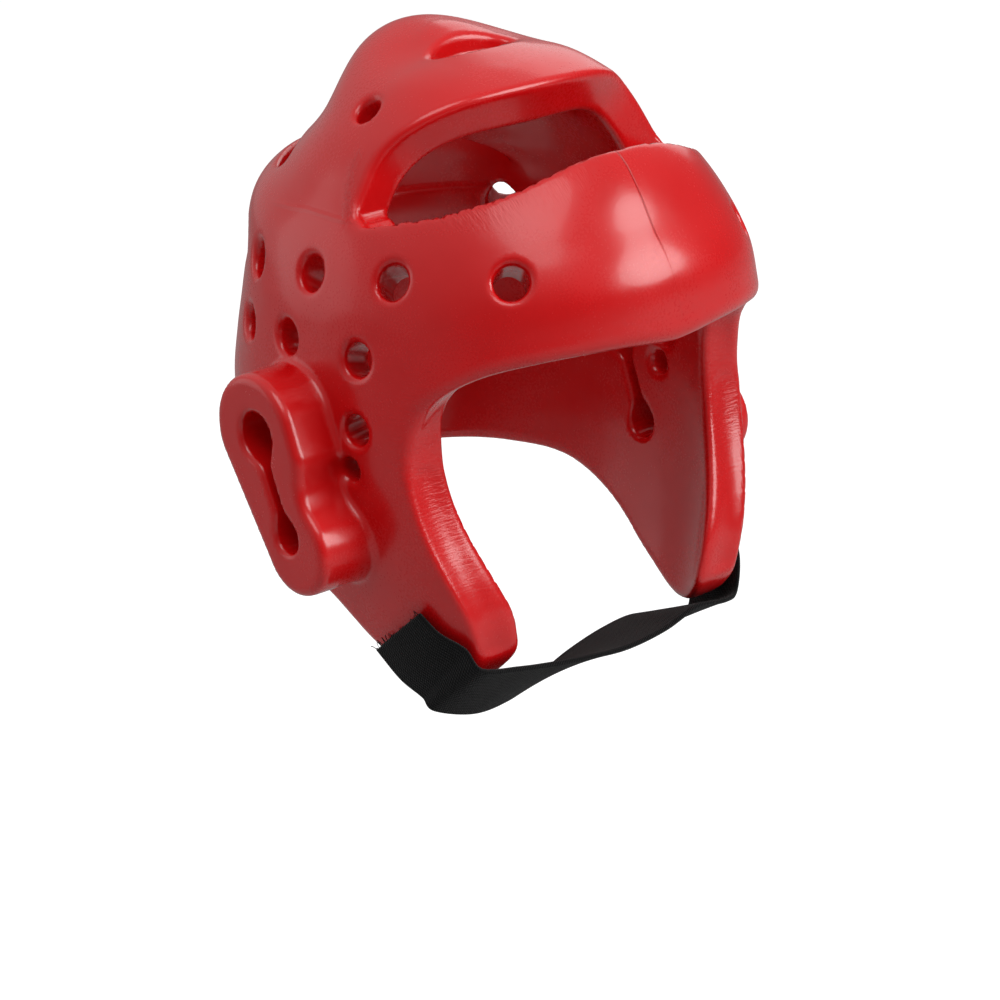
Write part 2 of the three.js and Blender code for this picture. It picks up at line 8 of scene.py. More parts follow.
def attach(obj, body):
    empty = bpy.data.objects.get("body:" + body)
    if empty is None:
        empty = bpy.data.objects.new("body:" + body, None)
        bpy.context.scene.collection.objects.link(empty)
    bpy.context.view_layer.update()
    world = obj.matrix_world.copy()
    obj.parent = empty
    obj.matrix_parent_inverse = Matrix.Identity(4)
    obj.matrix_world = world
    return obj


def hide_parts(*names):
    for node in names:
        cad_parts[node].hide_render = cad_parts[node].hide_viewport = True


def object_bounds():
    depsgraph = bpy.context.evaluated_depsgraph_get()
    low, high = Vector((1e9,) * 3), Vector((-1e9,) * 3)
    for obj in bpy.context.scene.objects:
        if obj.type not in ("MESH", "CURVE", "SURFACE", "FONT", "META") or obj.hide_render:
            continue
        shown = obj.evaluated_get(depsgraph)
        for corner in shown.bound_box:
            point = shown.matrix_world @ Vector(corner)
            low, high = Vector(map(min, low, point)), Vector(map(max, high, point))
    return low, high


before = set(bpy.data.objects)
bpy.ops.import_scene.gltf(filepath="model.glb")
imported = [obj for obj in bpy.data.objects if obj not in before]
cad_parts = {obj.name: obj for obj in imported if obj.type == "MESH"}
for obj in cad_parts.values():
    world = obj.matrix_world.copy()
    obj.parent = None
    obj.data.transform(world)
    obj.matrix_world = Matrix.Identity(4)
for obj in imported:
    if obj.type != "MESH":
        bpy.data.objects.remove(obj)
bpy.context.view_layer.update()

# A red dipped foam sparring headguard with a black chin strap, seen from its right front.
# Sizes are in millimetres about the head's centre at ear level, with the face along -Y.
# to_row() lowers them to the row's origin, the underside of the crown, and turns them to metres.

MM = 0.001
DEG = math.pi / 180

# The head inside the foam, and the shell round it
HEAD_HALF_WIDTH = 74.0
HEAD_HALF_LENGTH = 90.0
HEAD_HEIGHT = 113.0
FOAM = 18.0
GUARD_DROP = 112.0
ARC_PER_DEGREE = 1.75

# Roundings
BROW_CORNER = 30.0
BROW_EDGE, GUARD_EDGE = 8.0, 3.0
RIM_EDGE = 7.0
TOP_EDGE = 4.0
HOLLOW_EDGE = 5.0
VENT_EDGE = 3.6
VENT_INSET = 0.5               # the rounding opens each vent by this much

# The ear cups, in the side view as (back, up)
EAR_FACE = HEAD_HALF_WIDTH + FOAM + 22.0
EAR_ROOT = HEAD_HALF_WIDTH - 14.0
EAR_EDGE, EAR_NOTCH_EDGE = 4.0, 5.0
EAR_FILLET = 3.2
EAR_UPPER, EAR_UPPER_RADIUS = (7.0, -1.5), 23.5
EAR_LOWER, EAR_LOWER_RADIUS = (-14.0, -43.5), 18.5
EAR_NOTCH, EAR_NOTCH_RADIUS = (-34.0, -17.0), 14.5
SLOT_UPPER, SLOT_UPPER_RADIUS = (5.5, -2.0), 9.5
SLOT_LOWER, SLOT_LOWER_RADIUS = (-10.0, -39.0), 6.5
SLOT_WAIST, SLOT_BLEND = 2.4, 6.0
SLOT_EDGE = 2.6

# The openings over the head
FRONT_HALF_WIDTH = 60.0
TOP_CUTS_FROM = HEAD_HEIGHT * 0.5
LIP_TO, LIP_SWEEP, LIP_LEAN = 38.0, 17.5, 0.5
LIP_TOP = HEAD_HEIGHT * 1.07
PILLAR_FRONT, PILLAR_SPREAD, PILLAR_BLEND = [16.0, 22.0], [-20.0, 20.0], 6.0   # right, left
LEDGE_AT, LEDGE_HEIGHTS = [-34.0, -20.0], [66.0, 78.0]     # behind the band, at the pillars
LEDGE_BLEND, SIDE_BLEND = 4.0, 2.0
FRONT_CORNER = 8.0
PAD_BACK, PAD_BOW = 62.0, 0.004
REAR_HALF_WIDTH, REAR_RADIUS, REAR_SQUASH = 62.0, 76.0, 0.9
REAR_CORNER = 9.0
CROWN_SLOT_AT = 2.0
CROWN_SLOT = (18.5, 6.5)
CROWN_SLOT_MOUTH = (19.5, 8.0)
CROWN_SLOT_STEP = 7.0          # depth of the wider mouth
CROWN_SLOT_WALL = 1.5
CROWN_SLOT_EDGE, CROWN_SLOT_BLEND = 3.0, 1.0

# The dished front face of each cheek guard: height, half width of its middle line, radius
DISH_ROWS = [
    (-88.0, 60.5, 16.0), (-75.0, 64.0, 20.0), (-50.0, 73.0, 22.0), (-25.0, 77.0, 20.0), (-8.0, 78.5, 10.0),
]
DISH_DEPTH, DISH_ENDS, DISH_EDGE = 1.1, 6.0, 1.5

# The strap
STRAP_WIDTH = 36.0
STRAP_THICKNESS = 2.0
PATCH_THICKNESS = 1.2
PATCH_LENGTH = 30.0
CLEARANCE = 0.5
FACET_RELIEF = 0.25
PATCH_LIFT = CLEARANCE + FACET_RELIEF + PATCH_THICKNESS / 2
STRAP_LIFT = PATCH_LIFT + PATCH_THICKNESS / 2 + CLEARANCE + STRAP_THICKNESS / 2

# The meshes
SHELL_STEP = 1.85
SHELL_MARGIN = 4.0
SHELL_FRONT, SHELL_BACK, SHELL_TOP = -128.0, 118.0, HEAD_HEIGHT + FOAM + 16.0
STRAP_ALONG, STRAP_ACROSS = 150, 24

# Levels of the shell: share of GUARD_DROP below the ears, degrees above them, then shares of
# the head's curve to the front, side and back, shares of FOAM, and how square the front is
LEVEL_COLUMNS = [
    "level", "head_front", "head_side", "head_back", "foam_front", "foam_side", "foam_back", "square",
]
LEVEL_ROWS = [
    (-1.25, 0.78, 0.70, 0.89, 0.89, 0.89, 0.89, 2.8),
    (-1.00, 0.84, 0.79, 0.93, 0.89, 0.95, 0.89, 2.8),
    (-0.70, 0.91, 0.89, 0.96, 0.89, 1.00, 0.94, 2.8),
    (-0.45, 0.96, 0.95, 0.98, 0.94, 1.06, 0.94, 2.8),
    (-0.22, 0.98, 0.99, 0.99, 1.00, 1.06, 0.94, 2.8),
    (0, 1.00, 1.00, 1.00, 1.06, 1.06, 0.94, 2.7),
    (10, 1.02, 1.01, 0.99, 1.17, 1.03, 0.94, 2.5),
    (20, 1.03, 1.03, 0.98, 1.33, 1.03, 0.94, 2.35),
    (28, 1.04, 1.06, 1.00, 1.56, 1.03, 0.94, 2.2),
    (38, 1.02, 1.08, 1.10, 1.60, 1.03, 0.95, 2.1),
    (50, 1.00, 1.07, 1.02, 1.65, 1.03, 0.95, 2.0),
    (60, 0.99, 1.07, 0.97, 1.30, 1.05, 1.00, 2.05),
    (70, 0.97, 1.07, 1.12, 1.15, 1.00, 1.05, 2.0),
    (80, 0.975, 1.02, 1.075, 1.10, 1.00, 1.05, 2.0),
    (90, 1.00, 1.00, 1.00, 1.03, 1.03, 1.03, 2.0),
]

# Front edge of the cheek guards in the side view: share of GUARD_DROP, share forward of HEAD_HALF_LENGTH
GUARD_ROWS = [
    (-1.25, 0.60), (-1.00, 0.62), (-0.89, 0.68), (-0.80, 0.745), (-0.71, 0.766), (-0.625, 0.767),
    (-0.535, 0.742), (-0.45, 0.708), (-0.34, 0.66), (-0.22, 0.617), (-0.09, 0.589), (0, 0.586),
    (0.18, 0.611), (0.36, 0.778), (0.60, 0.95),
]

# Bottom rim in the side view: share back of HEAD_HALF_LENGTH, share of GUARD_DROP
RIM_ROWS = [
    (-1.50, -0.76), (-0.88, -0.78), (-0.76, -0.83), (-0.66, -0.885), (-0.52, -0.92),
    (-0.22, -0.83), (0.02, -0.69), (0.33, -0.57), (0.67, -0.535), (1.50, -0.535),
]

# Lower edge of the forehead band in the front view: share of HEAD_HALF_WIDTH, share of HEAD_HEIGHT
BROW_ROWS = [(0, 0.292), (0.41, 0.31), (0.74, 0.292), (1.01, 0.239), (1.22, 0.124), (1.80, -0.13)]

# Top edge of the forehead band in plan: share of HEAD_HALF_WIDTH, share forward of HEAD_HALF_LENGTH
BAND_ROWS = [
    (0, 0.885), (0.255, 0.862), (0.426, 0.833), (0.608, 0.768), (0.765, 0.66), (0.903, 0.515),
    (0.988, 0.37), (1.20, -0.10),
]

# Vent holes in pairs: degrees round from the front, degrees up, radius
VENT_ROWS = [
    (34.8, 32.3, 7), (62.3, 34, 7), (89, 34, 7), (116, 31.6, 7), (134, 30, 7),
    (72, 18, 7), (97.7, 19, 7), (119, 17, 7), (72.8, 1.5, 6.5), (75.4, -8.5, 5), (92, 65, 5.5),
]

# The strap's middle line, right guard to left: shares of HEAD_HALF_WIDTH across, of
# HEAD_HALF_LENGTH forward and of GUARD_DROP down, the tilt of its front edge, and whether it
# lies on the guard, where its place across comes from the guard's face
STRAP_ROWS = [
    (-1, 0.417, 0.686, 40, 1), (-1, 0.500, 0.768, 40, 1), (-1, 0.590, 0.818, 41, 1),
    (-1, 0.672, 0.888, 45, 0), (-0.757, 0.690, 0.935, 46, 0), (-0.514, 0.680, 0.955, 40, 0),
    (-0.270, 0.667, 0.955, 30, 0), (0, 0.650, 0.945, 18, 0), (0.297, 0.625, 0.930, 14, 0),
    (0.568, 0.595, 0.920, 20, 0), (0.800, 0.575, 0.960, 26, 0), (0.985, 0.540, 0.975, 32, 0),
    (1, 0.490, 0.845, 41, 1), (1, 0.410, 0.780, 40, 1), (1, 0.330, 0.690, 40, 1),
]


def to_row(points):
    """Millimetres about the head's centre to metres in the row's frame."""
    return (np.asarray(points, float) - (0, 0, HEAD_HEIGHT)) * MM


def smooth_curve(x, y, at):
    """A smooth curve through the points (x, y), read at many places."""
    x, y = np.asarray(x, float), np.asarray(y, float)
    step = np.diff(y) / np.diff(x)
    gap = np.diff(x)
    slope = np.empty_like(y)
    slope[1:-1] = (step[:-1] * gap[1:] + step[1:] * gap[:-1]) / (gap[:-1] + gap[1:])
    slope[0], slope[-1] = step[0], 0.0
    at = np.clip(at, x[0], x[-1])
    i = np.clip(np.searchsorted(x, at, side="right") - 1, 0, len(x) - 2)
    h = gap[i]
    t = (at - x[i]) / h
    return ((1 + 2 * t) * (1 - t) ** 2 * y[i] + t * (1 - t) ** 2 * h * slope[i]
            + t * t * (3 - 2 * t) * y[i + 1] + t * t * (t - 1) * h * slope[i + 1])


def fine_table(rows, scale_x, scale_y, count=800):
    """Rows of two shares as fine lists of lengths, for quick reading."""
    x = np.array([scale_x(r[0]) for r in rows], float)
    y = np.array([r[1] * scale_y for r in rows], float)
    fine = np.linspace(x[0], x[-1], count)
    return fine, smooth_curve(x, y, fine)


def level_place(level):
    return level * ARC_PER_DEGREE if level > 0 else level * GUARD_DROP


LEVEL_PLACES = np.linspace(level_place(-1.25), level_place(90), 1600)
LEVELS = {
    name: smooth_curve([level_place(r[0]) for r in LEVEL_ROWS], [r[k] for r in LEVEL_ROWS], LEVEL_PLACES)
    for k, name in enumerate(LEVEL_COLUMNS) if k
}
GUARD_FINE = fine_table(GUARD_ROWS, lambda s: s * (HEAD_HEIGHT if s > 0 else GUARD_DROP), -HEAD_HALF_LENGTH)
RIM_FINE = fine_table(RIM_ROWS, lambda s: s * HEAD_HALF_LENGTH, GUARD_DROP)
BROW_FINE = fine_table(BROW_ROWS, lambda s: s * HEAD_HALF_WIDTH, HEAD_HEIGHT)
BAND_FINE = fine_table(BAND_ROWS, lambda s: s * HEAD_HALF_WIDTH, -HEAD_HALF_LENGTH)
BAND_SLOPE = np.gradient(BAND_FINE[1], BAND_FINE[0])
DISH_X = fine_table([(r[0], r[1]) for r in DISH_ROWS], float, 1.0)
DISH_R = fine_table([(r[0], r[2]) for r in DISH_ROWS], float, 1.0)


def guard_front(z):
    return np.interp(z, *GUARD_FINE)


def beyond_level(p, foam):
    """How far points lie outside the shell's outer face (foam 1) or the hollow (foam 0)."""
    flat = np.hypot(p[:, 0], p[:, 1]) + 1e-9
    raised = p[:, 2] > 0
    up = np.where(raised, np.arctan2(p[:, 2], flat), 0.0)
    place = np.where(raised, up / DEG * ARC_PER_DEGREE, p[:, 2])

    def reach(half, side):
        curve = 1 / np.hypot(np.cos(up) / half, np.sin(up) / HEAD_HEIGHT)
        head = curve * np.interp(place, LEVEL_PLACES, LEVELS["head_" + side])
        return head + foam * FOAM * np.interp(place, LEVEL_PLACES, LEVELS["foam_" + side])

    front = p[:, 1] < 0
    ahead = np.where(front, reach(HEAD_HALF_LENGTH, "front"), reach(HEAD_HALF_LENGTH, "back"))
    square = np.interp(place, LEVEL_PLACES, LEVELS["square"])
    power = np.where(front, square, 2 + 0.4 * np.maximum(square - 2, 0))
    along, across = np.abs(p[:, 1]) / flat / ahead, np.abs(p[:, 0]) / flat / reach(HEAD_HALF_WIDTH, "side")
    outline = (along ** power + across ** power) ** (-1 / power)
    return np.where(raised, np.hypot(flat, p[:, 2]), flat) - outline


def smooth_max(a, b, radius):
    h = np.clip(0.5 + 0.5 * (a - b) / radius, 0, 1)
    return b + (a - b) * h + radius * h * (1 - h)


def smooth_min(a, b, radius):
    return -smooth_max(-a, -b, radius)


def beyond_capsule(u, v, start, end, start_radius, end_radius):
    run = np.subtract(end, start)
    t = np.clip(((u - start[0]) * run[0] + (v - start[1]) * run[1]) / run.dot(run), 0, 1)
    gap = np.hypot(u - start[0] - t * run[0], v - start[1] - t * run[1])
    return gap - start_radius - (end_radius - start_radius) * t


def with_ear_cups(p, body):
    across, y, z = np.abs(p[:, 0]), p[:, 1], p[:, 2]
    bean = beyond_capsule(y, z, EAR_UPPER, EAR_LOWER, EAR_UPPER_RADIUS, EAR_LOWER_RADIUS)
    notch = EAR_NOTCH_RADIUS - np.hypot(y - EAR_NOTCH[0], z - EAR_NOTCH[1])
    bean = smooth_max(bean, notch, EAR_NOTCH_EDGE)
    cup = np.maximum(smooth_max(bean, across - EAR_FACE, EAR_EDGE), EAR_ROOT - across)
    return smooth_min(body, cup, EAR_FILLET)


def face_gap(p):
    """Inside (negative) the opening in front of the cheek guards and below the forehead band."""
    brow = np.interp(np.abs(p[:, 0]), *BROW_FINE)
    return smooth_max(p[:, 1] - guard_front(p[:, 2]), p[:, 2] - brow, BROW_CORNER)


def guard_dish(p):
    """Inside the shallow dish that runs down the front face of each guard."""
    radius = np.interp(p[:, 2], *DISH_R)
    middle = np.interp(p[:, 2], *DISH_X)
    ahead = guard_front(p[:, 2]) - radius + DISH_DEPTH
    tube = np.hypot(np.abs(p[:, 0]) - middle, p[:, 1] - ahead) - radius
    ends = np.maximum(p[:, 2] - DISH_ROWS[-1][0], DISH_ROWS[0][0] - p[:, 2])
    return smooth_max(tube, ends, DISH_ENDS)


def front_top_gap(p):
    x, y, z = p[:, 0], p[:, 1], p[:, 2]
    band = np.interp(np.abs(x), *BAND_FINE) - y
    band /= np.hypot(1, np.interp(np.abs(x), BAND_FINE[0], BAND_SLOPE))
    lean = LIP_LEAN * (LIP_TOP - z)
    pillar = np.interp(x, PILLAR_SPREAD, PILLAR_FRONT)
    lip = y - smooth_min(lean + LIP_SWEEP * (x / HEAD_HALF_WIDTH) ** 2 - LIP_TO, -pillar, PILLAR_BLEND)
    outline = smooth_max(band, lip, FRONT_CORNER)
    through = smooth_max(np.abs(x) - FRONT_HALF_WIDTH, TOP_CUTS_FROM - z, SIDE_BLEND)
    ledge = np.interp(y, LEDGE_AT, LEDGE_HEIGHTS)
    return smooth_max(outline, smooth_min(through, ledge - z, LEDGE_BLEND), LEDGE_BLEND)


def rear_top_gap(p):
    x, y = p[:, 0], p[:, 1]
    band = np.hypot(x, y * REAR_SQUASH) - REAR_RADIUS
    pad = -(y - PAD_BACK + PAD_BOW * x * x)
    outline = smooth_max(smooth_max(band, pad, REAR_CORNER), np.abs(x) - REAR_HALF_WIDTH, REAR_CORNER)
    return np.maximum(outline, TOP_CUTS_FROM - p[:, 2])


def crown_slot_gap(p):
    def ellipse(half):
        scaled = np.hypot(p[:, 0] / half[0], (p[:, 1] - CROWN_SLOT_AT) / half[1])
        return (scaled - 1) * half[1] * np.clip(scaled, 0.6, 1.4)
    step = HEAD_HEIGHT + FOAM - CROWN_SLOT_STEP
    through = np.maximum(ellipse(CROWN_SLOT) + CROWN_SLOT_WALL, HEAD_HEIGHT * 0.7 - p[:, 2])
    mouth = smooth_max(ellipse(CROWN_SLOT_MOUTH), step - p[:, 2], CROWN_SLOT_EDGE)
    return smooth_min(through, mouth, CROWN_SLOT_BLEND)


def ear_slot(y, z):
    upper = np.hypot(y - SLOT_UPPER[0], z - SLOT_UPPER[1]) - SLOT_UPPER_RADIUS
    lower = np.hypot(y - SLOT_LOWER[0], z - SLOT_LOWER[1]) - SLOT_LOWER_RADIUS
    waist = beyond_capsule(y, z, SLOT_UPPER, SLOT_LOWER, SLOT_WAIST, SLOT_WAIST)
    return smooth_min(np.minimum(upper, lower), waist, SLOT_BLEND)


def shell_field(p):
    """Roughly the distance of each point from the shell's surface, negative in the foam."""
    across, y, z = np.abs(p[:, 0]), p[:, 1], p[:, 2]
    face_edge = np.interp(z, [-15, 15], [GUARD_EDGE, BROW_EDGE])
    body = with_ear_cups(p, beyond_level(p, 1))
    body = smooth_max(body, -face_gap(p), face_edge)
    body = smooth_max(body, np.interp(y, *RIM_FINE) - z, RIM_EDGE)
    body = smooth_max(body, -guard_dish(p), DISH_EDGE)
    body = smooth_max(body, -front_top_gap(p), TOP_EDGE)
    body = smooth_max(body, -rear_top_gap(p), TOP_EDGE)
    body = smooth_max(body, -beyond_level(p, 0), HOLLOW_EDGE)
    body = smooth_max(body, -np.maximum(ear_slot(y, z), HEAD_HALF_WIDTH / 2 - across), SLOT_EDGE)
    body = smooth_max(body, -crown_slot_gap(p), CROWN_SLOT_EDGE)
    distance = np.linalg.norm(p, axis=1)
    for round_, up, radius in VENT_ROWS:
        a, e = round_ * DEG, up * DEG
        out = np.array([math.sin(a) * math.cos(e), -math.cos(a) * math.cos(e), math.sin(e)])
        along = across * out[0] + y * out[1] + z * out[2]
        gap = np.sqrt(np.maximum(distance ** 2 - along ** 2, 0)) - radius + VENT_INSET
        near = (along > 0) & (gap < 3 * VENT_EDGE)
        body[near] = smooth_max(body[near], -gap[near], VENT_EDGE)
    return body


def surface_net(field, low, high, step):
    """A closed mesh of the surface where the field is 0, as vertices and four-sided faces."""
    axes = [np.arange(lo, hi + step, step) for lo, hi in zip(low, high)]
    size = [len(a) for a in axes]
    values = np.empty(size)
    yz = np.stack(np.meshgrid(axes[1], axes[2], indexing="ij"), -1).reshape(-1, 2)
    for i, x in enumerate(axes[0]):
        values[i] = field(np.column_stack([np.full(len(yz), x), yz])).reshape(size[1:])
    cells = np.array(size) - 1
    total = np.zeros((cells.prod(), 3))
    count = np.zeros(cells.prod())
    quads = []
    for axis in range(3):
        one = np.eye(3, dtype=int)[axis]
        first = values[: size[0] - one[0], : size[1] - one[1], : size[2] - one[2]]
        second = values[one[0]:, one[1]:, one[2]:]
        at = np.argwhere((first < 0) != (second < 0))
        a, b = first[tuple(at.T)], second[tuple(at.T)]
        crossing = at + one * (a / (a - b))[:, None]
        u, v = [np.eye(3, dtype=int)[k] for k in ((axis + 1) % 3, (axis + 2) % 3)]
        around = [at - u - v, at - v, at, at - u]
        inside = np.all([(c >= 0).all(1) & (c < cells).all(1) for c in around], axis=0)
        ids = [np.ravel_multi_index(tuple(c[inside].T), cells) for c in around]
        for cell in ids:
            for k in range(3):
                total[:, k] += np.bincount(cell, crossing[inside, k], cells.prod())
            count += np.bincount(cell, minlength=cells.prod())
        quad = np.stack(ids, 1)
        turned = a[inside] > 0
        quad[turned] = quad[turned][:, ::-1]
        quads.append(quad)
    used = np.flatnonzero(count)
    number = np.full(cells.prod(), -1)
    number[used] = np.arange(len(used))
    vertices = total[used] / count[used, None] * step + [a[0] for a in axes]
    return vertices, number[np.concatenate(quads)]


def field_slope(field, p, reach=0.3):
    slope = np.empty_like(p)
    for k in range(3):
        nudge = np.zeros(3)
        nudge[k] = reach
        slope[:, k] = (field(p + nudge) - field(p - nudge)) / (2 * reach)
    return slope


def settle(field, p, passes=4, most=1.0):
    """Moves points onto the surface where the field is 0."""
    for _ in range(passes):
        slope = field_slope(field, p)
        move = field(p)[:, None] * slope / (np.sum(slope ** 2, axis=1)[:, None] + 1e-9)
        length = np.linalg.norm(move, axis=1)[:, None] + 1e-12
        p = p - move * np.minimum(1, most / length)
    return p


def relax(vertices, faces, passes=2):
    """Evens out a mesh by moving each vertex toward the middle of its neighbours."""
    edges = np.concatenate([faces[:, [k, (k + 1) % 4]] for k in range(4)])
    near = sum(np.bincount(edges[:, k], minlength=len(vertices)) for k in range(2))
    for _ in range(passes):
        middle = np.stack([
            np.bincount(edges[:, 0], vertices[edges[:, 1], k], len(vertices))
            + np.bincount(edges[:, 1], vertices[edges[:, 0], k], len(vertices)) for k in range(3)
        ], 1) / near[:, None]
        vertices = vertices + 0.5 * (middle - vertices)
    return vertices


def mesh_piece(name, vertices, faces, material):
    """A smooth-shaded object from points in metres, riding on the one body."""
    mesh = bpy.data.meshes.new(name)
    mesh.from_pydata([tuple(v) for v in vertices], [], [tuple(int(i) for i in f) for f in faces])
    mesh.polygons.foreach_set("use_smooth", [True] * len(mesh.polygons))
    mesh.materials.append(material)
    piece = bpy.data.objects.new(name, mesh)
    bpy.context.collection.objects.link(piece)
    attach(piece, "root")
    return piece


def add_measure(piece, name, values):
    attribute = piece.data.attributes.new(name, "FLOAT", "POINT")
    attribute.data.foreach_set("value", np.asarray(values, np.float32))


# Fine wrinkles below the band's top edge: how far they reach, and the height, place back and
# place across where they begin
BAND_WRINKLE_REACH, BAND_WRINKLE_OVER, BAND_WRINKLE_AHEAD, BAND_WRINKLE_SIDE = 9.0, 60.0, -15.0, 8.0

# Wrinkles across the guards' front faces: how far back they reach, their middle height and
# their spread, and how far from the middle plane they begin
FACE_WRINKLE_REACH, FACE_WRINKLE_AT, FACE_WRINKLE_SPREAD, FACE_WRINKLE_FROM = 7.0, -12.0, 42.0, 40.0

# The rough crease down the front of each pillar, on the right: across, back, up
PILLAR_CREASE = [(64.3, -7.0, 100.3), (67.6, -7.1, 95.5), (71.6, -9.1, 88.9), (76.5, -13.3, 81.0)]
CREASE_REACH = 2.2

# The mould's parting line down the forehead, a groove with painted shade in it: height, place across, then
# height, clearness
PARTING_LINE = [(36.0, 2.5), (56.0, -2.0), (75.0, -4.0), (102.0, -3.0)]
PARTING_CLEAR = [(34, 0.0), (44, 0.12), (66, 0.25), (76, 1.0), (106, 1.0)]
PARTING_AHEAD = -40

# The faint step along each side above the vents: place back, height, then place back, clearness
SIDE_LINE = [(-38.0, 82.0), (-15.0, 79.3), (9.0, 79.8), (36.0, 77.3)]
SIDE_CLEAR = [(-44, 0), (-36, 1), (30, 1), (40, 0)]
SIDE_FROM = 62


def read_rows(rows, at):
    return np.interp(at, *zip(*rows))


def near_band_edge(p):
    """1 at the top edge of the forehead band right of the middle, fading out over the band."""
    edge = p[:, 1] - np.interp(np.abs(p[:, 0]), *BAND_FINE)
    close = np.exp(-(edge / BAND_WRINKLE_REACH) ** 2)
    close = close * (p[:, 2] > BAND_WRINKLE_OVER) * (p[:, 1] < BAND_WRINKLE_AHEAD)
    side = 1 / (1 + np.exp((p[:, 0] + BAND_WRINKLE_SIDE) / BAND_WRINKLE_SIDE))
    return close * side


def near_guard_face(p):
    """1 on the bent front faces of the cheek guards, strongest under the brow corner."""
    close = np.exp(-((p[:, 1] - guard_front(p[:, 2])) / FACE_WRINKLE_REACH) ** 2)
    level = np.exp(-((p[:, 2] - FACE_WRINKLE_AT) / FACE_WRINKLE_SPREAD) ** 2)
    return close * level * (np.abs(p[:, 0]) > FACE_WRINKLE_FROM)


def near_pillar_crease(p):
    """1 along the crease, fading out beside it."""
    q = np.column_stack([np.abs(p[:, 0]), p[:, 1], p[:, 2]])
    gap = np.full(len(p), np.inf)
    for start, end in zip(PILLAR_CREASE, PILLAR_CREASE[1:]):
        run = np.subtract(end, start)
        t = np.clip((q - start) @ run / run.dot(run), 0, 1)
        gap = np.minimum(gap, np.linalg.norm(q - start - t[:, None] * run, axis=1))
    return np.exp(-(gap / CREASE_REACH) ** 2)


def shell_measures(p):
    """What the vinyl's fine detail and painted shade follow at each vertex."""
    return {
        "edge_wrinkle": near_band_edge(p),
        "face_wrinkle": near_guard_face(p),
        "crease": near_pillar_crease(p),
        "parting_gap": p[:, 0] - read_rows(PARTING_LINE, p[:, 2]),
        "parting_share": read_rows(PARTING_CLEAR, p[:, 2]) * (p[:, 1] < PARTING_AHEAD),
        "side_gap": p[:, 2] - read_rows(SIDE_LINE, p[:, 1]),
        "side_share": read_rows(SIDE_CLEAR, p[:, 1]) * (np.abs(p[:, 0]) > SIDE_FROM),
    }


def build_shell(material):
    low = (-EAR_FACE - SHELL_MARGIN, SHELL_FRONT, -GUARD_DROP * 0.96)
    high = (EAR_FACE + SHELL_MARGIN, SHELL_BACK, SHELL_TOP)
    vertices, faces = surface_net(shell_field, low, high, SHELL_STEP)
    vertices = settle(shell_field, relax(settle(shell_field, vertices, 2), faces), 4)
    normals = field_slope(shell_field, vertices)
    normals /= np.linalg.norm(normals, axis=1)[:, None] + 1e-12
    piece = mesh_piece("foam_shell", to_row(vertices), faces, material)
    piece.data.normals_split_custom_set_from_vertices([tuple(n) for n in normals])
    for name, values in shell_measures(vertices).items():
        add_measure(piece, name, values)
    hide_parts("shell")
    return piece


def on_guard(side, y, z, lift):
    """Points on a cheek guard's outer face, from their side view, lifted off it."""
    y, z = np.atleast_1d(y).astype(float), np.atleast_1d(z).astype(float)
    x = np.full_like(y, HEAD_HALF_WIDTH)
    low, high = np.full_like(y, 5.0), np.full_like(y, 2.0 * HEAD_HALF_WIDTH)
    for _ in range(40):
        x = (low + high) / 2
        outside = beyond_level(np.column_stack([x, y, z]), 1) > 0
        high, low = np.where(outside, x, high), np.where(outside, low, x)
    p = np.column_stack([side * x, y, z])
    slope = field_slope(lambda q: beyond_level(q, 1), p)
    return p + lift * slope / np.linalg.norm(slope, axis=1)[:, None]


def strap_centres():
    centres = []
    for across, forward, down, _, laid in STRAP_ROWS:
        y, z = -forward * HEAD_HALF_LENGTH, -down * GUARD_DROP
        if laid:
            centres.append(on_guard(np.sign(across), y, z, STRAP_LIFT)[0])
        else:
            centres.append(np.array([across * HEAD_HALF_WIDTH, y, z]))
    return np.array(centres)


def strap_net(lift, width, parts=12):
    """Points of the strap's middle face at each row, right to left, rear edge to front edge."""
    centres = strap_centres()
    last = len(centres) - 1
    net = []
    for i, (across, _, _, tilt, laid) in enumerate(STRAP_ROWS):
        ahead = centres[min(i + 1, last)] - centres[max(i - 1, 0)]
        ahead /= np.linalg.norm(ahead)
        over = np.array([0, -math.cos(tilt * DEG), math.sin(tilt * DEG)])
        over -= over.dot(ahead) * ahead
        over /= np.linalg.norm(over)
        line = centres[i] + np.linspace(-0.5, 0.5, parts + 1)[:, None] * width * over
        if laid:
            line = on_guard(np.sign(across), line[:, 1], line[:, 2], lift)
        net.append(line)
    return np.array(net)


def along_rows(net, places):
    """The net read at places counted in rows, on a smooth curve through each column."""
    rows = np.arange(len(net))
    columns = [
        np.stack([smooth_curve(rows, net[:, c, k], places) for k in range(3)], -1)
        for c in range(net.shape[1])
    ]
    return np.stack(columns, 1)


def refine_across(net, count):
    fine = np.linspace(0, net.shape[1] - 1, count + 1)
    columns = np.arange(net.shape[1])
    return np.stack([
        np.stack([smooth_curve(columns, line[:, k], fine) for k in range(3)], -1) for line in net
    ])


def net_normals(net):
    ahead, over = np.gradient(net, axis=0), np.gradient(net, axis=1)
    normal = np.cross(over, ahead)
    return normal / (np.linalg.norm(normal, axis=2)[:, :, None] + 1e-12)


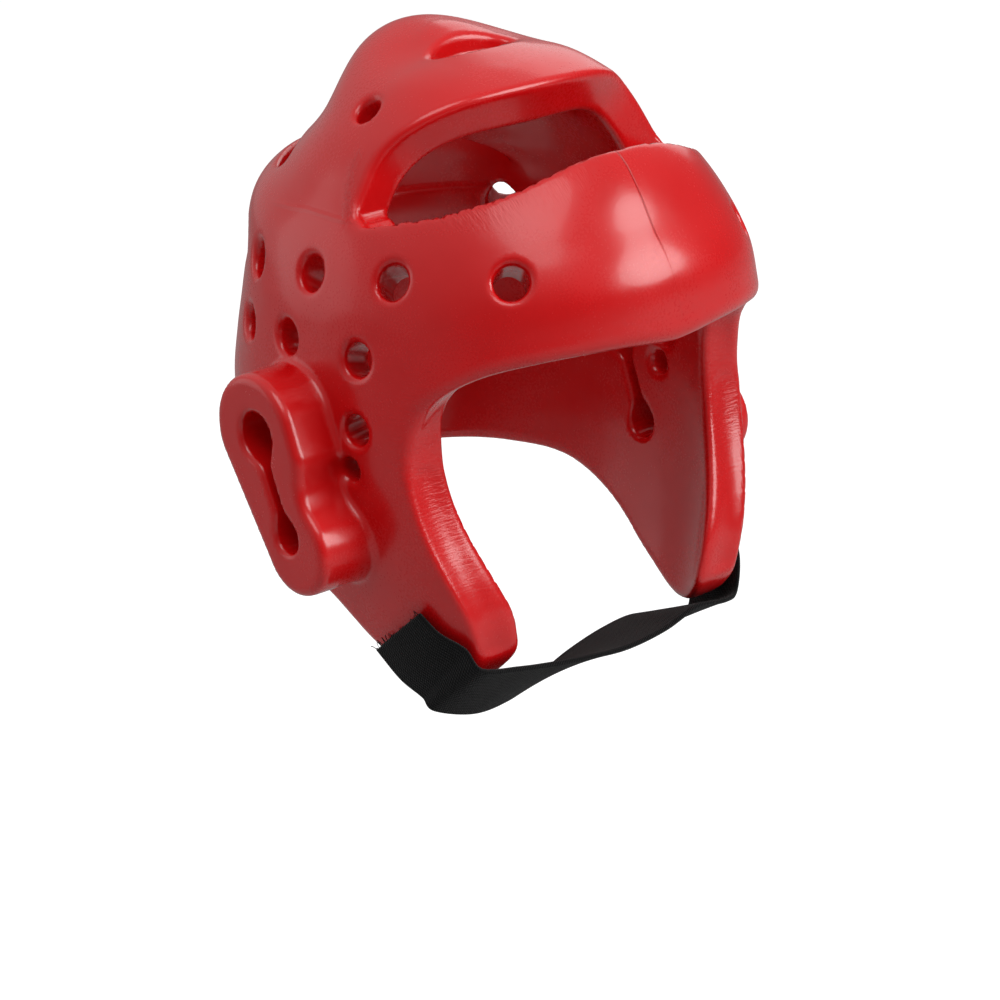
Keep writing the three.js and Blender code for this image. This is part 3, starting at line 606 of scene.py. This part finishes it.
def band_mesh(net, thickness):
    """A band of even thickness round a net of points, with rounded edges.
    Also gives each vertex's place along and across the band."""
    normals = net_normals(net)
    half = thickness / 2
    over = np.gradient(net, axis=1)
    over /= np.linalg.norm(over, axis=2)[:, :, None] + 1e-12
    inset = half * 0.6
    first, last = net[:, 0] + over[:, 0] * inset, net[:, -1] - over[:, -1] * inset
    body = net.copy()
    body[:, 0], body[:, -1] = first, last
    outer = body + normals * half
    inner = body - normals * half
    edge_front, edge_rear = net[:, -1], net[:, 0]
    rings = np.concatenate([outer, edge_front[:, None], inner[:, ::-1], edge_rear[:, None]], axis=1)
    count = rings.shape[1]
    rows = len(rings)
    step = np.linalg.norm(np.diff(net[:, net.shape[1] // 2], axis=0), axis=1)
    along = np.concatenate([[0], np.cumsum(step)])
    width = np.concatenate([[0], np.cumsum(np.linalg.norm(np.diff(net[rows // 2], axis=0), axis=1))])
    places = np.concatenate([width, [width[-1] + half], width[::-1], [-half]])
    faces = []
    for r in range(rows - 1):
        for k in range(count):
            a, b = r * count + k, r * count + (k + 1) % count
            faces.append((a, b, b + count, a + count))
    for offset, turned in ((0, True), ((rows - 1) * count, False)):
        ring = [offset + k for k in range(count)]
        columns = net.shape[1]
        for k in range(columns - 1):
            quad = (ring[k], ring[k + 1], ring[2 * columns - 1 - k], ring[2 * columns - k])
            faces.append(quad[::-1] if turned else quad)
        faces.append((ring[columns - 1], ring[columns], ring[columns + 1])[::-1 if turned else 1])
        faces.append((ring[2 * columns], ring[2 * columns + 1], ring[0])[::-1 if turned else 1])
    vertices = rings.reshape(-1, 3)
    return vertices, faces, np.repeat(along, count), np.tile(places, rows)


def build_strap(material):
    places = np.linspace(0, len(STRAP_ROWS) - 1, STRAP_ALONG + 1)
    net = refine_across(along_rows(strap_net(STRAP_LIFT, STRAP_WIDTH), places), STRAP_ACROSS)
    vertices, faces, along, across = band_mesh(net, STRAP_THICKNESS)
    piece = mesh_piece("strap_webbing", to_row(vertices), faces, material)
    add_measure(piece, "along", along)
    add_measure(piece, "across", across)
    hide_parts("chin_strap")
    return piece, net


def build_patch(name, node, side, material):
    """The looped pile between the strap's end and the guard, ragged at its edges."""
    random = np.random.default_rng(7 if side < 0 else 8)
    first = 0 if side < 0 else len(STRAP_ROWS) - 1
    step = 1 if side < 0 else -1
    centres = strap_centres()
    gap = np.linalg.norm(centres[first] - centres[first + step])
    places = first + step * np.linspace(0.02, min(PATCH_LENGTH / gap, 2.1), 30)
    net = along_rows(strap_net(PATCH_LIFT, STRAP_WIDTH * 0.85), places)
    net = refine_across(net, 24)
    if step < 0:
        net = net[::-1]
    ragged = random.normal(0, 0.12, net.shape[:2])
    net = net + net_normals(net) * ragged[:, :, None]
    vertices, faces, along, across = band_mesh(net, PATCH_THICKNESS * 0.9)
    piece = mesh_piece(name, to_row(vertices), faces, material)
    add_measure(piece, "along", along)
    add_measure(piece, "across", across)
    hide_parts(node)
    return piece


def tube(points, radius, sides=6):
    """A closed thin tube along points."""
    points = np.asarray(points, float)
    ahead = np.gradient(points, axis=0)
    ahead /= np.linalg.norm(ahead, axis=1)[:, None] + 1e-12
    helper = np.where(np.abs(ahead[:, 2:3]) < 0.9, [[0, 0, 1.0]], [[1.0, 0, 0]])
    u = np.cross(ahead, helper)
    u /= np.linalg.norm(u, axis=1)[:, None] + 1e-12
    v = np.cross(ahead, u)
    angles = np.linspace(0, 2 * math.pi, sides, endpoint=False)
    around = np.cos(angles)[None, :, None] * u[:, None] + np.sin(angles)[None, :, None] * v[:, None]
    rings = points[:, None] + radius * around
    faces = []
    for r in range(len(points) - 1):
        for k in range(sides):
            a, b = r * sides + k, r * sides + (k + 1) % sides
            faces.append((a, a + sides, b + sides, b))
    faces.append(tuple(range(sides)))
    faces.append(tuple(reversed(range((len(points) - 1) * sides, len(points) * sides))))
    return rings.reshape(-1, 3), faces


def build_threads(name, net, end, seed, material):
    """Frayed yarn ends and small loops that stand out of a cut end of the strap."""
    random = np.random.default_rng(seed)
    line = net[end]
    ahead = net[end] - net[end + (1 if end == 0 else -1)]
    ahead /= np.linalg.norm(ahead, axis=1)[:, None]
    up = net_normals(net)[end]
    vertices, faces = [], []
    count = 30
    for i in range(count):
        share = random.beta(0.7, 0.7)
        k = int(round(share * (len(line) - 1)))
        side = line[min(k + 1, len(line) - 1)] - line[max(k - 1, 0)]
        side /= np.linalg.norm(side)
        reach = random.gamma(2.0, 0.55) * (1.7 if k < 3 or k > len(line) - 4 else 1.0)
        spread = random.uniform(-2.4, 2.4)
        root = line[k] - ahead[k] * 0.6 + up[k] * random.uniform(-0.6, 0.7)
        t = np.linspace(0, 1, 9)[:, None]
        loop = random.random() < 0.45
        arch = np.sin(math.pi * t) if loop else t ** 0.8
        drift = spread * (t if loop else t ** 2)
        path = root + ahead[k] * reach * arch + side * drift + up[k] * random.uniform(-0.3, 0.8) * arch * t
        points, quads = tube(path, random.uniform(0.11, 0.17))
        faces += [tuple(j + len(vertices) for j in q) for q in quads]
        vertices += [tuple(p) for p in points]
    return mesh_piece(name, to_row(vertices), faces, material)


class Nodes:
    """Short calls for building one material's node tree."""

    def __init__(self, name):
        self.material = bpy.data.materials.new(name)
        self.material.use_nodes = True
        self.tree = self.material.node_tree
        self.shader = self.tree.nodes["Principled BSDF"]

    def add(self, kind, values=(), **settings):
        node = self.tree.nodes.new(kind)
        for key, value in settings.items():
            setattr(node, key, value)
        for key, value in dict(values).items():
            if isinstance(value, bpy.types.NodeSocket):
                self.tree.links.new(value, node.inputs[key])
            else:
                node.inputs[key].default_value = value
        return node

    def place(self, scale):
        """Object coordinates in metres, stretched by a scale along X, Y and Z."""
        source = self.add("ShaderNodeTexCoord").outputs["Object"]
        return self.add("ShaderNodeMapping", {"Vector": source, "Scale": scale}).outputs["Vector"]

    def noise(self, scale, detail=2.0, distortion=0.0, rough=0.5):
        values = {"Vector": self.place(scale), "Scale": 1.0, "Detail": detail,
                  "Distortion": distortion, "Roughness": rough}
        return self.add("ShaderNodeTexNoise", values).outputs["Fac"]

    def measure(self, name):
        return self.add("ShaderNodeAttribute", attribute_name=name).outputs["Fac"]

    def math(self, operation, a, b=0.0, c=0.0):
        return self.add("ShaderNodeMath", {0: a, 1: b, 2: c}, operation=operation).outputs[0]

    def ramp(self, value, low, high, from_value=0.0, to_value=1.0):
        values = {"Value": value, "From Min": low, "From Max": high,
                  "To Min": from_value, "To Max": to_value}
        return self.add("ShaderNodeMapRange", values).outputs["Result"]

    def mix(self, share, a, b):
        node = self.add("ShaderNodeMix", data_type="RGBA")
        for socket, value in ((node.inputs[0], share), (node.inputs[6], a), (node.inputs[7], b)):
            if isinstance(value, bpy.types.NodeSocket):
                self.tree.links.new(value, socket)
            else:
                socket.default_value = value
        return node.outputs[2]

    def bump(self, height, distance, before=None, strength=1.0):
        values = {"Height": height, "Distance": distance, "Strength": strength}
        if before is not None:
            values["Normal"] = before
        return self.add("ShaderNodeBump", values).outputs["Normal"]

    def link(self, value, socket):
        self.tree.links.new(value, self.shader.inputs[socket])

    def set(self, **values):
        for key, value in values.items():
            self.shader.inputs[key.replace("_", " ")].default_value = value


def line_along(n, gap, share, half_width):
    """1 in the middle of a narrow line, from the measured gap to it and how clearly it shows."""
    near = n.ramp(n.math("ABSOLUTE", n.measure(gap)), 0.0, half_width, 1.0, 0.0)
    return n.math("MULTIPLY", near, n.measure(share))


def vinyl_material():
    """Glossy dipped vinyl: deep red, finely wrinkled, rougher where it is creased, with painted shade
    darkening the crease and the parting line's groove.
    """
    n = Nodes("red_vinyl")
    blotch = n.noise((22, 22, 22), detail=3)
    grain = n.noise((900, 900, 900), detail=2)
    parting = line_along(n, "parting_gap", "parting_share", 0.55)
    side_line = line_along(n, "side_gap", "side_share", 1.3)
    red = n.mix(n.ramp(blotch, 0.3, 0.7), (0.62, 0.003, 0.004, 1), (0.68, 0.004, 0.006, 1))
    # Painted shade: the base colour is darker along the parting line's groove.
    red = n.mix(n.math("MULTIPLY", parting, 0.3), red, (0.16, 0.002, 0.004, 1))
    # Painted shade: the base colour is darker along the crease down each pillar, standing in for the shade
    # in the fold.
    n.link(n.mix(n.math("MULTIPLY", n.measure("crease"), 0.2), red, (0.25, 0.003, 0.005, 1)), "Base Color")
    rough = n.math("ADD", n.ramp(blotch, 0.3, 0.7, 0.22, 0.28), n.ramp(grain, 0.3, 0.8, 0.0, 0.04))
    creased = n.math("ADD", n.measure("edge_wrinkle"), n.measure("crease"))
    n.link(n.math("ADD", rough, n.math("MULTIPLY", creased, 0.12)), "Roughness")
    n.set(Specular_IOR_Level=0.45, IOR=1.5, Coat_Weight=0.35, Coat_Roughness=0.12)

    fine = n.noise((260, 1500, 700), detail=3, distortion=0.6, rough=0.6)
    swell = n.noise((55, 55, 55), detail=1)
    edge = n.noise((1500, 260, 180), detail=2, distortion=0.4)
    cross = n.noise((150, 220, 1250), detail=2, distortion=0.5)
    torn = n.noise((700, 700, 420), detail=4, distortion=1.0)
    height = n.math("MULTIPLY", fine, n.ramp(n.noise((28, 28, 28)), 0.42, 0.68, 0.10, 0.55))
    height = n.math("MULTIPLY_ADD", n.math("MULTIPLY", edge, n.measure("edge_wrinkle")), 3.2, height)
    height = n.math("MULTIPLY_ADD", n.math("MULTIPLY", cross, n.measure("face_wrinkle")), 2.0, height)
    height = n.math("MULTIPLY_ADD", n.math("MULTIPLY", torn, n.measure("crease")), 12.0, height)
    height = n.math("MULTIPLY_ADD", parting, -3.0, height)
    height = n.math("MULTIPLY_ADD", side_line, 1.8, height)
    normal = n.bump(swell, 0.00035)
    n.link(n.bump(height, 0.00011, normal), "Normal")
    return n.material


def webbing_material():
    """Matte black elastic webbing: ribs along it crossed by a tight weave."""
    n = Nodes("black_webbing")
    along, across = n.measure("along"), n.measure("across")
    rib = n.math("SINE", n.math("MULTIPLY", across, 2 * math.pi / 1.3))
    weft = n.math("SINE", n.math("MULTIPLY_ADD", across, 2.4, n.math("MULTIPLY", along, 2 * math.pi / 0.9)))
    fuzz = n.noise((2600, 2600, 2600), detail=3)
    height = n.math("MULTIPLY_ADD", rib, 0.35, n.math("MULTIPLY_ADD", weft, 0.4, fuzz))
    tone = n.ramp(n.math("MULTIPLY_ADD", weft, 0.22, fuzz), 0.25, 0.95)
    n.link(n.mix(tone, (0.0015, 0.0015, 0.0018, 1), (0.0065, 0.0062, 0.0068, 1)), "Base Color")
    n.set(Roughness=0.95, Specular_IOR_Level=0.15, Sheen_Weight=0.08, Sheen_Roughness=0.5)
    n.link(n.bump(height, 0.00025), "Normal")
    return n.material


def pile_material():
    """Black looped pile: rough, fuzzy and without gloss."""
    n = Nodes("black_pile")
    loops = n.noise((1700, 1700, 1700), detail=4, distortion=1.0)
    n.link(n.mix(n.ramp(loops, 0.3, 0.7), (0.003, 0.003, 0.004, 1), (0.012, 0.012, 0.013, 1)), "Base Color")
    n.set(Roughness=1.0, Specular_IOR_Level=0.12, Sheen_Weight=0.15, Sheen_Roughness=0.6)
    n.link(n.bump(loops, 0.0006), "Normal")
    return n.material


def floor_material():
    """Pale paint that looks bright itself but throws little light back on the object."""
    n = Nodes("floor_paint")
    n.set(Base_Color=(0.45, 0.45, 0.45, 1), Emission_Color=(1, 1, 1, 1))
    n.set(Roughness=0.9, Specular_IOR_Level=0.1)
    seen = n.add("ShaderNodeLightPath").outputs["Is Camera Ray"]
    n.link(n.math("MULTIPLY", seen, 0.8), "Emission Strength")
    return n.material


# The view: from the wearer's right front and a little above, the image turned slightly
CAMERA_ROUND = 40.0
CAMERA_UP = 20.0
CAMERA_ROLL = 2.5
CAMERA_DISTANCE = 1300.0
CAMERA_FOCAL = 3.25            # focal length as a share of the image's width
SENSOR_MM = 36.0
AIM = (0.0, 0.0, 5.0)          # this point is seen at AIM_AT, shares of the image from its top left
AIM_AT = (0.49, 0.355)


def build_camera():
    a, e, roll = -CAMERA_ROUND * DEG, CAMERA_UP * DEG, CAMERA_ROLL * DEG
    back = np.array([math.sin(a) * math.cos(e), -math.cos(a) * math.cos(e), math.sin(e)])
    right = np.cross([0, 0, 1.0], back)
    right /= np.linalg.norm(right)
    up = np.cross(back, right)
    right, up = math.cos(roll) * right - math.sin(roll) * up, math.sin(roll) * right + math.cos(roll) * up
    beside = (AIM_AT[0] - 0.5) / CAMERA_FOCAL * CAMERA_DISTANCE
    above = -(AIM_AT[1] - 0.5) / CAMERA_FOCAL * CAMERA_DISTANCE
    eye = np.array(AIM) + back * CAMERA_DISTANCE - right * beside - up * above
    data = bpy.data.cameras.new("camera")
    data.sensor_width = SENSOR_MM
    data.lens = SENSOR_MM * CAMERA_FOCAL
    camera = bpy.data.objects.new("camera", data)
    turn = Matrix([[right[k], up[k], back[k]] for k in range(3)]).to_4x4()
    camera.matrix_world = Matrix.Translation(Vector(to_row(eye))) @ turn
    bpy.context.collection.objects.link(camera)
    bpy.context.scene.camera = camera


FLOOR_DROP = 0.30              # the floor lies this far under the object, which is held up


def build_floor():
    low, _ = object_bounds()
    half, z = 6.0, low.z - FLOOR_DROP
    mesh = bpy.data.meshes.new("floor")
    corners = [(-half, -half, z), (half, -half, z), (half, half, z), (-half, half, z)]
    mesh.from_pydata(corners, [], [(0, 1, 2, 3)])
    mesh.materials.append(floor_material())
    floor = bpy.data.objects.new("floor", mesh)
    bpy.context.collection.objects.link(floor)


# Soft boxes: degrees round from the front toward the wearer's left, degrees up, distance and
# size in metres, power in watts
LIGHT_ROWS = [
    ("key", 28, 24, 1.9, 1.2, 22),
    ("high", -40, 62, 1.8, 1.2, 10),
    ("back_right", -140, 8, 1.9, 1.3, 2.5),
    ("back_left", 120, 25, 1.9, 1.3, 4),
]

# Brightness of the surroundings: at least the first, then what the sky and the back add
DIM, FROM_ABOVE, FROM_BACK = 0.12, 0.40, 0.30
BACK = (-0.45, 0.85, -0.1)


def build_world():
    """Bright surroundings above and behind, dim ones in front."""
    world = bpy.data.worlds.new("studio")
    world.use_nodes = True
    tree = world.node_tree

    def node(kind, values, **settings):
        made = tree.nodes.new(kind)
        for key, value in settings.items():
            setattr(made, key, value)
        for key, value in values.items():
            if isinstance(value, bpy.types.NodeSocket):
                tree.links.new(value, made.inputs[key])
            else:
                made.inputs[key].default_value = value
        return made.outputs

    toward = tree.nodes.new("ShaderNodeTexCoord").outputs["Generated"]
    total = DIM
    for direction, amount, low, high in (((0, 0, 1), FROM_ABOVE, 0.1, 0.95), (BACK, FROM_BACK, 0.0, 0.9)):
        facing = node("ShaderNodeVectorMath", {0: toward, 1: direction}, operation="DOT_PRODUCT")["Value"]
        values = {"Value": facing, "From Min": low, "From Max": high, "To Min": 0.0, "To Max": amount}
        share = node("ShaderNodeMapRange", values, interpolation_type="SMOOTHSTEP")["Result"]
        total = node("ShaderNodeMath", {0: share, 1: total}, operation="ADD")[0]
    background = tree.nodes["Background"]
    background.inputs["Color"].default_value = (1, 1, 1, 1)
    tree.links.new(total, background.inputs["Strength"])
    bpy.context.scene.world = world


def build_lights():
    centre = Vector(to_row((0, 0, 10)))
    for name, round_, up, distance, size, power in LIGHT_ROWS:
        a, e = round_ * DEG, up * DEG
        out = Vector((math.sin(a) * math.cos(e), -math.cos(a) * math.cos(e), math.sin(e)))
        data = bpy.data.lights.new(name, "AREA")
        data.shape, data.size, data.energy = "DISK", size, power
        light = bpy.data.objects.new(name, data)
        light.location = centre + out * distance
        light.rotation_euler = out.to_track_quat("Z", "Y").to_euler()
        bpy.context.collection.objects.link(light)
    bpy.context.scene.view_settings.view_transform = "Standard"


def build_object():
    webbing, pile = webbing_material(), pile_material()
    build_shell(vinyl_material())
    _, net = build_strap(webbing)
    build_patch("pile_right", "strap_patch_right", -1, pile)
    build_patch("pile_left", "strap_patch_left", 1, pile)
    build_threads("frayed_end_right", net, 0, 11, webbing)
    build_threads("frayed_end_left", net, len(net) - 1, 12, webbing)


build_camera()
build_object()
build_floor()
build_world()
build_lights()
